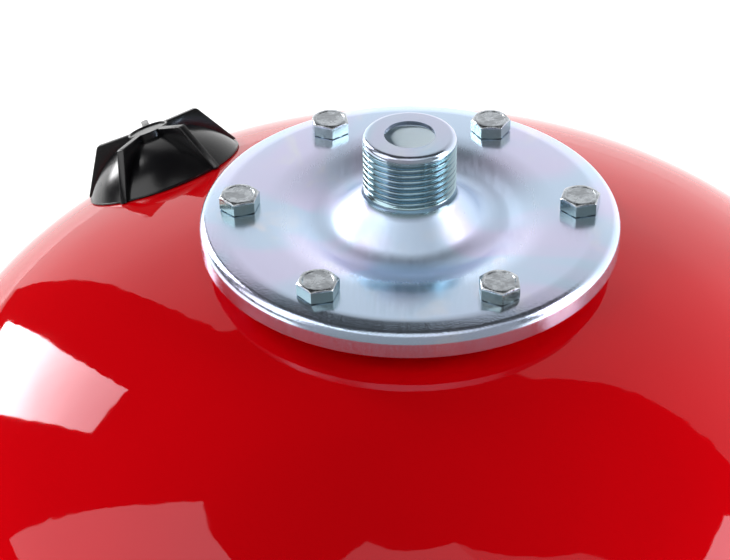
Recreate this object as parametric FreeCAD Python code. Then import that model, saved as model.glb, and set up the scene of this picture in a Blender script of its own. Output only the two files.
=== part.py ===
import FreeCAD, Part
import math
import os

# Upright membrane expansion tank. Millimetres, +Z up, the origin on the floor under the tank's axis.
# The threaded connection is on top, the air valve beside it on the upper head, three legs below.

# Shell: two deep-drawn halves with elliptical heads, joined by a weld round the middle
TANK_R = 190.0            # outside radius of the shell
SHELL_T = 1.5             # sheet thickness of the shell
HEAD_H = 97.0             # outside height of each elliptical head
BARREL_H = 320.0          # straight part between the two heads
GROUND_GAP = 60.0         # lowest point of the shell above the floor
POLE_FLAT_R = 3.0         # small flat where the heads close on the axis
LAP_H = 12.0              # length of the stepped-in edge inside the upper half
STEP_H = 4.0              # height over which the edge steps in, which is also the weld groove
LAP_PLAY = 0.1            # radial play of the stepped-in edge
BEAD_PROUD = 1.2          # how far the weld bead stands out of the shell
BEAD_OVERLAP = 1.6        # how far the bead runs over each edge of the groove
CUT_OVER = 1.0            # how far a cutting body runs past what it cuts

# Connection flange: one drawn sheet from the pipe neck to the folded rim
FLANGE_T = 3.0            # sheet thickness of the flange
FLANGE_R = 75.6           # outside radius of the folded rim
RIM_DEPTH = 10.0          # depth of the rim below the flat top
RIM_FOLD_R = 7.0          # outside radius of the fold
FLANGE_RISE = 9.5         # flat top of the flange above the pole of the head
NECK_R = 16.625           # outside radius of the pipe neck, G1
NECK_RISE = 30.3          # top of the neck above the flat top
NECK_LIP_T = 2.0          # thickness of the lip round the water hole
NECK_EDGE_R = 2.3         # rounding of the neck's upper edge
WATER_HOLE_R = 9.0        # hole in the lip
HUMP_FOOT_Z = 6.5         # height where the line of the neck meets the line of the hump
HUMP_FOOT_R = 6.0         # rounding between neck and hump
VALLEY_R = 30.0           # radius of the lowest ring of the dish
VALLEY_DEPTH = 6.9        # depth of that ring below the flat top, before rounding
VALLEY_ROUND = 10.9       # rounding of the dish's bottom
DISH_R = 46.0             # radius where the dish starts
DISH_ROUND = 35.0         # rounding of the dish's outer edge

# Flange screws: M8 hexagon heads in a welded ring with threaded holes
BOLT_COUNT = 6
BOLT_CIRCLE_R = 61.0
BOLT_R = 4.0
BOLT_LENGTH = 16.0        # under the head
BOLT_AF = 13.0            # across the flats
BOLT_HEAD_H = 5.4
BOLT_EDGE = 0.325         # round face of the head inside its flats
BOLT_CHAMFER = 30.0       # slope of the head's chamfer in degrees
BOLT_FACE_H = 0.3         # height of the round bearing face under the hexagon
BOLT_DISH_R = 5.2         # shallow dish in the top of the head
BOLT_DISH_H = 0.25
BOLT_POINT = 0.8          # chamfer at the end of the shank
BOLT_TURNS = [15.0, 0.0, 39.0, 18.5, 14.0, 34.5]   # where each hexagon came to rest, in degrees
BOLT_HOLE_R = 4.5         # clearance holes in flange and bladder lip
THREAD_PLAY = 0.03        # radial play of a screw in its threaded hole
RING_R = 68.0             # outside radius of the threaded ring
RING_BORE_R = 54.6
RING_H = 12.0

# Bladder: a rubber bag that hangs from its clamped lip
BAG_T = 2.5
BAG_MOUTH_R = 51.0        # inside radius of the mouth
BAG_MOUTH_H = 24.0        # straight part of the mouth
BAG_R = 128.0             # inside radius of the full bag
BAG_SHOULDER_H = 66.0     # height of the cone between mouth and bag
BAG_FLOOR_Z = 168.0       # inside bottom of the bag above the floor
BAG_SHOULDER_ROUND = 60.0
BAG_BOTTOM_ROUND = 96.0
BAG_MOUTH_ROUND = 24.0
LIP_ROUND = 3.2

# Air valve on the upper head, along the head's own normal
VALVE_OFFSET_R = 129.0    # distance of the valve from the tank's axis
VALVE_ANGLE = 141.0       # direction of the valve, seen from above, from +X
BOSS_R = 12.0             # welded bush
BOSS_H = 3.0
BOSS_SPIGOT_R = 9.0       # part of the bush in the hole of the shell
BOSS_DEPTH = 5.0
STEM_THREAD_R = 6.0       # valve body's thread in the bush
STEM_DEPTH = 9.0
STEM_AF = 14.0            # hexagon of the valve body
STEM_HEX_H = 2.6
STEM_R = 3.85             # slim upper part that carries the cover
STEM_TOP = 12.4           # top of the valve body above the shell
STEM_BORE_R = 2.65
GASKET_R = 8.0            # sealing washer under the hexagon
GASKET_T = 1.0
CORE_PLAY = 0.05          # radial play of the valve insert in the body
CORE_TOP_GAP = 0.9        # insert below the top of the body
CORE_LENGTH = 7.6
CORE_WALL = 0.9
CORE_END_T = 1.0          # end walls of the insert, which guide the pin
PIN_R = 0.75
PIN_PLAY = 0.08           # running clearance of the pin in its guides
PIN_RISE = 0.6            # pin above the insert
PIN_TAIL = 3.0            # pin below the insert
PIN_COLLAR_H = 0.5
PIN_COLLAR_PLAY = 0.12
SEAL_R = 2.0              # rubber cup that closes the insert from below
SEAL_T = 1.4
SPRING_WIRE_R = 0.22
SPRING_COILS = 5
SPRING_STEPS = 16         # sections of the wire in one coil
SPRING_SIDES = 6          # sides of the wire's section
SPRING_PLAY = 0.12        # clearance of the coils to the insert's wall
SPRING_END_GAP = 0.05

# Valve cover: a domed cap with five grip wings, screwed on the slim stem. Heights are along the
# valve's axis from the place where it leaves the head.
COVER_R = 32.0            # outside radius of the rim
COVER_LIP = 0.7           # how far the rim stands out of the dome
COVER_LIP_Z = -1.0        # top of the rim
COVER_T = 2.2
COVER_SEAT_GAP = 0.3      # clearance between the cover's rim and the head
COVER_DOME_H = 15.7       # top of the dome
COVER_SKIRT = 5.0         # length below the axis' foot that is trimmed to the head
WING_COUNT = 5
WING_FIRST = 33.5         # direction of the first wing in the cover's own frame
WING_T = 3.0
WING_TOP = 17.4           # wing height at the hub
WING_CORNER_R = 22.3      # radius where the top edge ends
WING_CORNER_H = 17.0
WING_CORNER_ROUND = 1.6
WING_TOE = 1.4            # how far the wings' toes stand out of the rim
WING_TOE_Z = -1.4         # lower end of the wings' outer edges
HUB_R = 8.4
HUB_RECESS_R = 7.4        # shallow recess in the hub's top
HUB_RECESS_H = 0.6
SOCKET_R = 6.6            # inside tube that grips the stem
SOCKET_PLAY = 0.12
SOCKET_LENGTH = 6.5

# Legs: three folded channels welded to the lower head
LEG_COUNT = 3
LEG_FIRST = 90.0          # direction of the first leg
LEG_INSET = 14.0          # outside face of the channel's web inside the shell's outline
LEG_T = 3.0
LEG_WIDTH = 56.0
LEG_DEPTH = 34.0          # radial depth of the channel
LEG_FOLD_R = 5.0
LEG_HOLE_R = 5.0
LEG_HOLE_INSET = 19.0     # floor hole from the outside face of the web
LEG_TAPER = 7.0           # narrowing of the side walls towards the foot

# Worked out from the sizes above
LOWER_TANGENT_Z = GROUND_GAP + HEAD_H
UPPER_TANGENT_Z = LOWER_TANGENT_Z + BARREL_H
POLE_Z = UPPER_TANGENT_Z + HEAD_H
SEAM_Z = LOWER_TANGENT_Z + BARREL_H / 2.0
FLANGE_Z = POLE_Z + FLANGE_RISE
LIP_TOP_Z = FLANGE_Z - FLANGE_T
RING_TOP_Z = LIP_TOP_Z - BAG_T
INNER_R = TANK_R - SHELL_T
INNER_H = HEAD_H - SHELL_T
LAP_R = INNER_R - LAP_PLAY
BOLT_FACE_R = BOLT_AF / 2.0 - BOLT_EDGE
LEG_OUT_R = TANK_R - LEG_INSET
LEG_HOLE_OFFSET_R = LEG_OUT_R - LEG_HOLE_INSET


def flat(r, z):
    """A point of a section, drawn in the XZ plane."""
    return FreeCAD.Vector(r, 0.0, z)


def line(start, end):
    return Part.LineSegment(start, end).toShape()


def polyline(points):
    """Straight edges through section points given as (r, z)."""
    return [line(flat(*a), flat(*b)) for a, b in zip(points, points[1:])]


def rounded_path(corners, radii):
    """Edges of a path through corners, with an arc of the given radius at each inner corner."""
    edges = []
    last = corners[0]
    for i in range(1, len(corners) - 1):
        here = corners[i]
        back = (corners[i - 1] - here).normalize()
        ahead = (corners[i + 1] - here).normalize()
        half = back.getAngle(ahead) / 2.0
        radius = radii[i - 1]
        if radius > 0.0:
            reach = radius / math.tan(half)
            middle = (back + ahead).normalize()
            centre = here + middle * (radius / math.sin(half))
            start = here + back * reach
            end = here + ahead * reach
            edges.append(line(last, start))
            edges.append(Part.Arc(start, centre - middle * radius, end).toShape())
            last = end
        else:
            edges.append(line(last, here))
            last = here
    edges.append(line(last, corners[-1]))
    return edges


def offset_corners(corners, distance):
    """The corners moved sideways by distance, to the right of the path's direction."""
    moved = []
    for i, here in enumerate(corners):
        sides = []
        for a, b in ((i - 1, i), (i, i + 1)):
            if a >= 0 and b < len(corners):
                along = (corners[b] - corners[a]).normalize()
                sides.append(FreeCAD.Vector(along.z, 0.0, -along.x))
        if len(sides) == 1:
            moved.append(here + sides[0] * distance)
        else:
            total = sides[0] + sides[1]
            moved.append(here + total * (distance / (1.0 + sides[0].dot(sides[1]))))
    return moved


def offset_radii(corners, radii, distance):
    """The bend radii on the other face of the sheet, never below zero."""
    result = []
    for i, radius in enumerate(radii):
        before = corners[i + 1] - corners[i]
        after = corners[i + 2] - corners[i + 1]
        turn_right = before.z * after.x - before.x * after.z > 0.0
        change = -distance if turn_right else distance
        result.append(max(radius + change, 0.0))
    return result


def sheet_section(corners, radii, thickness):
    """The section of a bent sheet, to the right of the path."""
    far_corners = offset_corners(corners, thickness)
    far_radii = offset_radii(corners, radii, thickness)
    edges = rounded_path(corners, radii)
    edges.append(line(corners[-1], far_corners[-1]))
    edges += rounded_path(far_corners[::-1], far_radii[::-1])
    edges.append(line(far_corners[0], corners[0]))
    return edges


def turned(edges):
    """A solid of revolution about Z from the edges of its section."""
    wire = Part.Wire(Part.__sortEdges__(edges))
    return Part.Face(wire).revolve(FreeCAD.Vector(0, 0, 0), FreeCAD.Vector(0, 0, 1), 360.0)


def turned_polygon(points):
    corners = [flat(r, z) for r, z in points]
    corners.append(corners[0])
    wire = Part.makePolygon(corners)
    return Part.Face(wire).revolve(FreeCAD.Vector(0, 0, 0), FreeCAD.Vector(0, 0, 1), 360.0)


def rod(radius, low, high):
    return Part.makeCylinder(radius, high - low, FreeCAD.Vector(0, 0, low))


def hexagon(across_flats, low, high):
    corner_r = across_flats / math.sqrt(3.0)
    corners = []
    for k in range(7):
        angle = math.radians(60.0 * k)
        corners.append(FreeCAD.Vector(corner_r * math.cos(angle), corner_r * math.sin(angle), low))
    return Part.Face(Part.makePolygon(corners)).extrude(FreeCAD.Vector(0, 0, high - low))


def around(shape, count, first, radius=0.0):
    """Copies of a shape round the Z axis, each moved out by radius first."""
    copies = []
    for k in range(count):
        copy = shape.copy()
        copy.translate(FreeCAD.Vector(radius, 0, 0))
        copy.rotate(FreeCAD.Vector(0, 0, 0), FreeCAD.Vector(0, 0, 1), first + 360.0 * k / count)
        copies.append(copy)
    return copies


def head_arc(radius, height, tangent_z, up, inner_r):
    """A quarter of the head's ellipse, from the barrel in to inner_r."""
    centre = flat(0.0, tangent_z)
    ellipse = Part.Ellipse(flat(radius, tangent_z), flat(0.0, tangent_z + up * height), centre)
    return Part.ArcOfEllipse(ellipse, 0.0, math.acos(inner_r / radius)).toShape()


def head_z(radius, height, tangent_z, up, r):
    return tangent_z + up * height * math.sqrt(1.0 - (r / radius) ** 2)


def half_body(tangent_z, up, grow):
    """One half of the shell as a filled body, larger than the real one by grow all round."""
    radius = TANK_R + grow
    height = HEAD_H + grow
    pole_z = head_z(radius, height, tangent_z, up, POLE_FLAT_R)
    edges = [head_arc(radius, height, tangent_z, up, POLE_FLAT_R)]
    outline = [(POLE_FLAT_R, pole_z), (0.0, pole_z), (0.0, SEAM_Z), (radius, SEAM_Z)]
    outline.append((radius, tangent_z))
    return turned(edges + polyline(outline))


def valve_placement():
    """Where the valve's axis leaves the head: local Z is the head's outward normal."""
    share = VALVE_OFFSET_R / TANK_R
    slope = HEAD_H * share / (TANK_R * math.sqrt(1.0 - share ** 2))
    z = head_z(TANK_R, HEAD_H, UPPER_TANGENT_Z, 1.0, VALVE_OFFSET_R)
    turn = FreeCAD.Rotation(FreeCAD.Vector(0, 0, 1), VALVE_ANGLE)
    tilt = FreeCAD.Rotation(FreeCAD.Vector(0, 1, 0), math.degrees(math.atan(slope)))
    back = FreeCAD.Rotation(FreeCAD.Vector(0, 0, 1), -VALVE_ANGLE)
    place = turn.multVec(FreeCAD.Vector(VALVE_OFFSET_R, 0.0, z))
    return FreeCAD.Placement(place, turn.multiply(tilt).multiply(back))


def on_valve(shape):
    """A shape built round local Z, moved to the valve."""
    moved = shape.copy()
    moved.Placement = valve_placement().multiply(moved.Placement)
    return moved


def upper_shell():
    open_z = head_z(TANK_R, HEAD_H, UPPER_TANGENT_Z, 1.0, RING_R)
    open_inner_z = head_z(INNER_R, INNER_H, UPPER_TANGENT_Z, 1.0, RING_R)
    edges = polyline([(RING_R, open_z), (RING_R, open_inner_z)])
    edges.append(head_arc(TANK_R, HEAD_H, UPPER_TANGENT_Z, 1.0, RING_R))
    edges.append(head_arc(INNER_R, INNER_H, UPPER_TANGENT_Z, 1.0, RING_R))
    barrel = [(INNER_R, UPPER_TANGENT_Z), (INNER_R, SEAM_Z), (TANK_R, SEAM_Z)]
    barrel.append((TANK_R, UPPER_TANGENT_Z))
    edges += polyline(barrel)
    return turned(edges).cut(on_valve(rod(BOSS_SPIGOT_R, -BOSS_DEPTH, BOSS_H)))


def lower_shell():
    step_z = SEAM_Z - STEP_H
    lap_z = SEAM_Z + LAP_H
    outline = [(TANK_R, LOWER_TANGENT_Z), (TANK_R, step_z), (LAP_R, SEAM_Z), (LAP_R, lap_z)]
    outline += [(LAP_R - SHELL_T, lap_z), (LAP_R - SHELL_T, SEAM_Z), (INNER_R, step_z)]
    outline += [(INNER_R, LOWER_TANGENT_Z)]
    pole_z = head_z(TANK_R, HEAD_H, LOWER_TANGENT_Z, -1.0, POLE_FLAT_R)
    inner_pole_z = head_z(INNER_R, INNER_H, LOWER_TANGENT_Z, -1.0, POLE_FLAT_R)
    edges = [head_arc(TANK_R, HEAD_H, LOWER_TANGENT_Z, -1.0, POLE_FLAT_R)]
    edges.append(head_arc(INNER_R, INNER_H, LOWER_TANGENT_Z, -1.0, POLE_FLAT_R))
    pole = [(POLE_FLAT_R, pole_z), (0.0, pole_z), (0.0, inner_pole_z), (POLE_FLAT_R, inner_pole_z)]
    return turned(edges + polyline(outline) + polyline(pole))


def girth_weld():
    """The bead that fills the groove round the middle of the shell."""
    low = SEAM_Z - STEP_H - BEAD_OVERLAP
    high = SEAM_Z + BEAD_OVERLAP
    crown = flat(TANK_R + BEAD_PROUD, (low + high) / 2.0)
    edges = [Part.Arc(flat(TANK_R, low), crown, flat(TANK_R, high)).toShape()]
    inside = [(TANK_R, high), (TANK_R, SEAM_Z), (LAP_R, SEAM_Z)]
    inside += [(TANK_R, SEAM_Z - STEP_H), (TANK_R, low)]
    return turned(edges + polyline(inside))


def connection_flange():
    path = [(WATER_HOLE_R, NECK_RISE), (NECK_R, NECK_RISE), (NECK_R, HUMP_FOOT_Z)]
    path += [(VALLEY_R, -VALLEY_DEPTH), (DISH_R, 0.0), (FLANGE_R, 0.0), (FLANGE_R, -RIM_DEPTH)]
    radii = [NECK_EDGE_R, HUMP_FOOT_R, VALLEY_ROUND, DISH_ROUND, RIM_FOLD_R]
    corners = [flat(r, FLANGE_Z + z) for r, z in path]
    sheet = turned(sheet_section(corners, radii, FLANGE_T))
    under_lip = FLANGE_Z + NECK_RISE - NECK_LIP_T
    sheet = sheet.cut(rod(NECK_R - FLANGE_T, under_lip - FLANGE_T, under_lip))
    hole = rod(BOLT_HOLE_R, LIP_TOP_Z - CUT_OVER, FLANGE_Z + CUT_OVER)
    return sheet.cut(around(hole, BOLT_COUNT, 0.0, BOLT_CIRCLE_R))


def neck_ring():
    ring = rod(RING_R, RING_TOP_Z - RING_H, RING_TOP_Z)
    ring = ring.cut(rod(RING_BORE_R, RING_TOP_Z - RING_H, RING_TOP_Z))
    hole = rod(BOLT_R + THREAD_PLAY, RING_TOP_Z - RING_H - CUT_OVER, RING_TOP_Z + CUT_OVER)
    return ring.cut(around(hole, BOLT_COUNT, 0.0, BOLT_CIRCLE_R))


def membrane():
    """The bag from its lip in, down and round to the bottom, with the lip's screw holes."""
    shoulder_top = LIP_TOP_Z - BAG_MOUTH_H
    path = [(RING_R, LIP_TOP_Z), (BAG_MOUTH_R, LIP_TOP_Z), (BAG_MOUTH_R, shoulder_top)]
    path += [(BAG_R, shoulder_top - BAG_SHOULDER_H), (BAG_R, BAG_FLOOR_Z), (0.0, BAG_FLOOR_Z)]
    radii = [LIP_ROUND, BAG_MOUTH_ROUND, BAG_SHOULDER_ROUND, BAG_BOTTOM_ROUND]
    bag = turned(sheet_section([flat(r, z) for r, z in path], radii, -BAG_T))
    hole = rod(BOLT_HOLE_R, RING_TOP_Z - CUT_OVER, LIP_TOP_Z + CUT_OVER)
    return bag.cut(around(hole, BOLT_COUNT, 0.0, BOLT_CIRCLE_R))


def hex_screw():
    """One screw with the bearing face at Z 0, chamfered corners and a shallow dish on top."""
    corner_r = BOLT_AF / math.sqrt(3.0)
    drop = (corner_r - BOLT_FACE_R) * math.tan(math.radians(BOLT_CHAMFER))
    head = hexagon(BOLT_AF, BOLT_FACE_H, BOLT_HEAD_H)
    envelope = [(0, 0), (corner_r, 0), (corner_r, BOLT_HEAD_H - drop), (BOLT_FACE_R, BOLT_HEAD_H)]
    envelope += [(BOLT_DISH_R + BOLT_DISH_H, BOLT_HEAD_H)]
    envelope += [(BOLT_DISH_R, BOLT_HEAD_H - BOLT_DISH_H), (0, BOLT_HEAD_H - BOLT_DISH_H)]
    head = head.common(turned_polygon(envelope))
    shank = [(0, -BOLT_LENGTH), (BOLT_R - BOLT_POINT, -BOLT_LENGTH)]
    shank += [(BOLT_R, -BOLT_LENGTH + BOLT_POINT), (BOLT_R, 0), (BOLT_FACE_R, 0)]
    shank += [(BOLT_FACE_R, BOLT_FACE_H), (0, BOLT_FACE_H)]
    return head.fuse(turned_polygon(shank)).removeSplitter()


def flange_bolts():
    screws = []
    for k, turn in enumerate(BOLT_TURNS[:BOLT_COUNT]):
        angle = 360.0 * k / BOLT_COUNT
        screw = hex_screw()
        screw.rotate(FreeCAD.Vector(0, 0, 0), FreeCAD.Vector(0, 0, 1), turn)
        place = FreeCAD.Vector(BOLT_CIRCLE_R, 0, FLANGE_Z)
        screw.translate(FreeCAD.Rotation(FreeCAD.Vector(0, 0, 1), angle).multVec(place))
        screws.append(screw)
    return Part.makeCompound(screws)


def valve_boss():
    """The bush, with its collar trimmed to the curve of the head."""
    collar = on_valve(rod(BOSS_R, -CUT_OVER, BOSS_H)).cut(half_body(UPPER_TANGENT_Z, 1.0, 0.0))
    bush = collar.fuse(on_valve(rod(BOSS_SPIGOT_R, -BOSS_DEPTH, BOSS_H)))
    thread = rod(STEM_THREAD_R + THREAD_PLAY, -BOSS_DEPTH - CUT_OVER, BOSS_H + CUT_OVER)
    return bush.cut(on_valve(thread)).removeSplitter()


def valve_gasket():
    washer = rod(GASKET_R, BOSS_H, BOSS_H + GASKET_T)
    return washer.cut(rod(STEM_THREAD_R + THREAD_PLAY, BOSS_H, BOSS_H + GASKET_T))


def valve_stem():
    hex_low = BOSS_H + GASKET_T
    hex_high = hex_low + STEM_HEX_H
    body = rod(STEM_THREAD_R, -STEM_DEPTH, hex_low)
    body = body.fuse(hexagon(STEM_AF, hex_low, hex_high))
    body = body.fuse(rod(STEM_R, hex_high, STEM_TOP))
    bore = rod(STEM_BORE_R, -STEM_DEPTH - CUT_OVER, STEM_TOP + CUT_OVER)
    return body.cut(bore).removeSplitter()


def core_heights():
    high = STEM_TOP - CORE_TOP_GAP
    return high - CORE_LENGTH, high


def core_chamber_r():
    return STEM_BORE_R - CORE_PLAY - CORE_WALL


def valve_core():
    """The insert: a sleeve with a guide for the pin in each end."""
    low, high = core_heights()
    sleeve = rod(STEM_BORE_R - CORE_PLAY, low, high)
    sleeve = sleeve.cut(rod(core_chamber_r(), low + CORE_END_T, high - CORE_END_T))
    return sleeve.cut(rod(PIN_R + PIN_PLAY, low - CUT_OVER, high + CUT_OVER))


def valve_pin():
    low, high = core_heights()
    collar_high = high - CORE_END_T - SPRING_END_GAP
    collar_r = core_chamber_r() - PIN_COLLAR_PLAY
    pin = rod(PIN_R, low - PIN_TAIL, high + PIN_RISE)
    return pin.fuse(rod(collar_r, collar_high - PIN_COLLAR_H, collar_high)).removeSplitter()


def pin_seal():
    """The rubber cup on the pin, face to face with the lower end of the insert."""
    low, high = core_heights()
    return rod(SEAL_R, low - SEAL_T, low).cut(rod(PIN_R, low - SEAL_T, low))


def wire_section(angle, coil_r, z, slope):
    """The closed outline of the wire where the coil has turned by angle."""
    out = FreeCAD.Vector(math.cos(angle), math.sin(angle), 0)
    level = FreeCAD.Vector(-math.sin(angle), math.cos(angle), 0)
    up = FreeCAD.Vector(0, 0, math.cos(slope)) - level * math.sin(slope)
    middle = out * coil_r + FreeCAD.Vector(0, 0, z)
    corners = []
    for k in range(SPRING_SIDES + 1):
        side = 2.0 * math.pi * k / SPRING_SIDES
        corners.append(middle + (out * math.cos(side) + up * math.sin(side)) * SPRING_WIRE_R)
    return Part.makePolygon(corners)


def valve_spring():
    """The spring that pushes the pin's collar up: sections of the wire, joined along a helix."""
    low, high = core_heights()
    start = low + CORE_END_T + SPRING_WIRE_R + SPRING_END_GAP
    collar_low = high - CORE_END_T - SPRING_END_GAP - PIN_COLLAR_H
    end = collar_low - SPRING_END_GAP - SPRING_WIRE_R
    coil_r = core_chamber_r() - SPRING_PLAY - SPRING_WIRE_R
    steps = SPRING_COILS * SPRING_STEPS
    slope = math.atan2(end - start, 2.0 * math.pi * SPRING_COILS * coil_r)
    sections = []
    for k in range(steps + 1):
        angle = 2.0 * math.pi * k / SPRING_STEPS
        sections.append(wire_section(angle, coil_r, start + (end - start) * k / steps, slope))
    return Part.makeLoft(sections, True, True)


def wing():
    """One grip wing in the XZ plane: flat top edge, rounded corner, steep outer edge."""
    toe_r = COVER_R + WING_TOE
    crest = [flat(HUB_RECESS_R, WING_TOP), flat(WING_CORNER_R, WING_CORNER_H)]
    crest += [flat(toe_r, WING_TOE_Z)]
    edges = rounded_path(crest, [WING_CORNER_ROUND])
    foot = [(toe_r, WING_TOE_Z), (toe_r, -COVER_SKIRT), (HUB_RECESS_R, -COVER_SKIRT)]
    foot.append((HUB_RECESS_R, WING_TOP))
    face = Part.Face(Part.Wire(Part.__sortEdges__(edges + polyline(foot))))
    face.translate(FreeCAD.Vector(0, -WING_T / 2.0, 0))
    return face.extrude(FreeCAD.Vector(0, WING_T, 0))


def cover_dome(radius, top):
    """A filled dome, part of a ball, with a straight skirt below the height of the rim."""
    rise = top - COVER_LIP_Z
    ball_r = (radius ** 2 + rise ** 2) / (2.0 * rise)
    ball_z = top - ball_r
    first = math.asin(radius / ball_r)
    last = math.asin(POLE_FLAT_R / ball_r)
    points = []
    for angle in (first, (first + last) / 2.0, last):
        points.append(flat(ball_r * math.sin(angle), ball_z + ball_r * math.cos(angle)))
    pole_z = points[-1].z
    outline = [(POLE_FLAT_R, pole_z), (0.0, pole_z), (0.0, -COVER_SKIRT), (radius, -COVER_SKIRT)]
    outline.append((radius, COVER_LIP_Z))
    return turned([Part.Arc(*points).toShape()] + polyline(outline))


def valve_cover():
    dome_r = COVER_R - COVER_LIP
    inner_top = COVER_DOME_H - COVER_T
    cap = cover_dome(dome_r, COVER_DOME_H).fuse(rod(COVER_R, -COVER_SKIRT, COVER_LIP_Z))
    cap = cap.fuse(around(wing(), WING_COUNT, WING_FIRST))
    cap = cap.fuse(rod(HUB_R, 0.0, WING_TOP))
    cap = cap.cut(rod(HUB_RECESS_R, WING_TOP - HUB_RECESS_H, WING_TOP + CUT_OVER))
    cap = cap.cut(cover_dome(dome_r - COVER_T, inner_top))
    socket = rod(SOCKET_R, inner_top - SOCKET_LENGTH, inner_top + COVER_T / 2.0)
    cap = cap.fuse(socket.cut(rod(STEM_R + SOCKET_PLAY, 0.0, STEM_TOP + SOCKET_PLAY)))
    cap = on_valve(cap.removeSplitter())
    return cap.cut(half_body(UPPER_TANGENT_Z, 1.0, COVER_SEAT_GAP))


def leg():
    """One leg on the +X side: a folded channel with a foot, trimmed to the lower head."""
    back_r = LEG_OUT_R - LEG_DEPTH
    half = LEG_WIDTH / 2.0
    top = LOWER_TANGENT_Z
    block = Part.makeBox(LEG_DEPTH, LEG_WIDTH, top, FreeCAD.Vector(back_r, -half, 0))
    outer_edges = [e for e in block.Edges if edge_is_upright_outer(e)]
    block = block.makeFillet(LEG_FOLD_R, outer_edges)
    inner_depth = LEG_DEPTH - LEG_T
    inner_width = LEG_WIDTH - 2.0 * LEG_T
    corner = FreeCAD.Vector(back_r - CUT_OVER, -inner_width / 2.0, LEG_T)
    hollow = Part.makeBox(inner_depth + CUT_OVER, inner_width, top, corner)
    hollow = hollow.makeFillet(LEG_FOLD_R - LEG_T, [e for e in hollow.Edges if edge_is_upright_outer(e)])
    channel = block.cut(hollow)
    side = -half - CUT_OVER
    taper = [FreeCAD.Vector(back_r, side, LEG_T), FreeCAD.Vector(back_r, side, top)]
    taper += [FreeCAD.Vector(back_r + LEG_TAPER, side, LEG_T)]
    taper.append(taper[0])
    wedge = Part.Face(Part.makePolygon(taper)).extrude(FreeCAD.Vector(0, -2.0 * side, 0))
    hole = rod(LEG_HOLE_R, -CUT_OVER, LEG_T + CUT_OVER)
    hole.translate(FreeCAD.Vector(LEG_HOLE_OFFSET_R, 0, 0))
    return channel.cut(wedge).cut(hole).cut(half_body(LOWER_TANGENT_Z, -1.0, 0.0))


def edge_is_upright_outer(edge):
    """True for a vertical edge on the outer face of a box."""
    low, high = edge.BoundBox.ZMin, edge.BoundBox.ZMax
    outer = edge.CenterOfMass.x > LEG_OUT_R - LEG_DEPTH / 2.0
    return high - low > LEG_WIDTH and outer


def export(name, shape):
    if shape.ShapeType == "Compound" and len(shape.Solids) == 1:
        shape = shape.Solids[0]
    shape.exportStep("parts/" + name + ".step")
    print(name, shape.isValid(), len(shape.Solids), round(shape.Volume, 2))


def main():
    os.makedirs("parts", exist_ok=True)
    export("upper_shell", upper_shell())
    export("lower_shell", lower_shell())
    export("girth_weld", girth_weld())
    export("neck_ring", neck_ring())
    export("membrane", membrane())
    export("connection_flange", connection_flange())
    export("flange_bolts", flange_bolts())
    export("valve_boss", valve_boss())
    export("valve_gasket", on_valve(valve_gasket()))
    export("valve_stem", on_valve(valve_stem()))
    export("valve_core", on_valve(valve_core()))
    export("valve_pin", on_valve(valve_pin()))
    export("pin_seal", on_valve(pin_seal()))
    export("valve_spring", on_valve(valve_spring()))
    export("valve_cover", valve_cover())
    for k, shape in enumerate(around(leg(), LEG_COUNT, LEG_FIRST)):
        export("leg_" + str(k + 1), shape)


main()
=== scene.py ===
import math

import bmesh
import bpy
from mathutils import Matrix, Vector


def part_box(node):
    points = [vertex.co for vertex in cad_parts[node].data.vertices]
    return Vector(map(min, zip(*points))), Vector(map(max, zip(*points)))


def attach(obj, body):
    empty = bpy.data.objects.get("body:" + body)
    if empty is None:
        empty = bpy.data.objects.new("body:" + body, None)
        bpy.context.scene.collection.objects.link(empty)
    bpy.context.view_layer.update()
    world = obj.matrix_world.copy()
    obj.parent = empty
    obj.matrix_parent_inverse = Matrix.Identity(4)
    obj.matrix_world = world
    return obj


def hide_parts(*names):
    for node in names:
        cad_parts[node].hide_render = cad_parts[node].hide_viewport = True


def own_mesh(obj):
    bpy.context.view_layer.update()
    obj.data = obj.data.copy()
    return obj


bl_info = {
    "name": "Expansion tank",
    "version": (1, 0, 0),
    "blender": (4, 5, 0),
    "location": "3D View > Sidebar > Tank",
    "description": "Builds the looks of an upright membrane expansion tank round its packed model",
    "category": "Object",
}

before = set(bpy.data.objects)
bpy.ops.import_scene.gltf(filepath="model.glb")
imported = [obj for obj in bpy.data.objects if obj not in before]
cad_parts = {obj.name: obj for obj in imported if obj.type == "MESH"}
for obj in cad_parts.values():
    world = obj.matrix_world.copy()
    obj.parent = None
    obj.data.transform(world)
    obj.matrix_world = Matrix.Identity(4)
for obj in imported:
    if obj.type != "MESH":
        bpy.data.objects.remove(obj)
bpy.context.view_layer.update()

MM = 0.001
DEGREE = math.pi / 180.0

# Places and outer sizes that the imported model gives
SHELL_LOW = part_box("upper_shell")[0]
LOWER_LOW, LOWER_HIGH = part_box("lower_shell")
FLANGE_LOW, FLANGE_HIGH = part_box("connection_flange")
BEAD_LOW, BEAD_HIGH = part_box("girth_weld")
RING_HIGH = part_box("neck_ring")[1]

# Shell
TANK_R = 190.0 * MM
SHELL_T = 1.5 * MM
HEAD_H = 97.0 * MM
POLE_Z = FLANGE_HIGH.z - 39.8 * MM
UPPER_TANGENT_Z = POLE_Z - HEAD_H
LOWER_TANGENT_Z = LOWER_LOW.z + HEAD_H
SEAM_Z = SHELL_LOW.z
STEP_H = 4.0 * MM
LAP_R = TANK_R - SHELL_T - 0.1 * MM
OPENING_R = RING_HIGH.x
SHELL_SEGMENTS = 256
UPPER_ROWS = 72
LOWER_ROWS = 56
INNER_ROWS = 24

# Weld bead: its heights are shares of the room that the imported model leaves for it
BEAD_ROWS = 8
BEAD_HEIGHT = 0.86
RIPPLE_POINTS = 6
RIPPLE_HEIGHT = 0.12
RIPPLE_LAG = 1.6
WANDER_HEIGHT = 0.0024
WANDER_COUNT = 23

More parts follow.
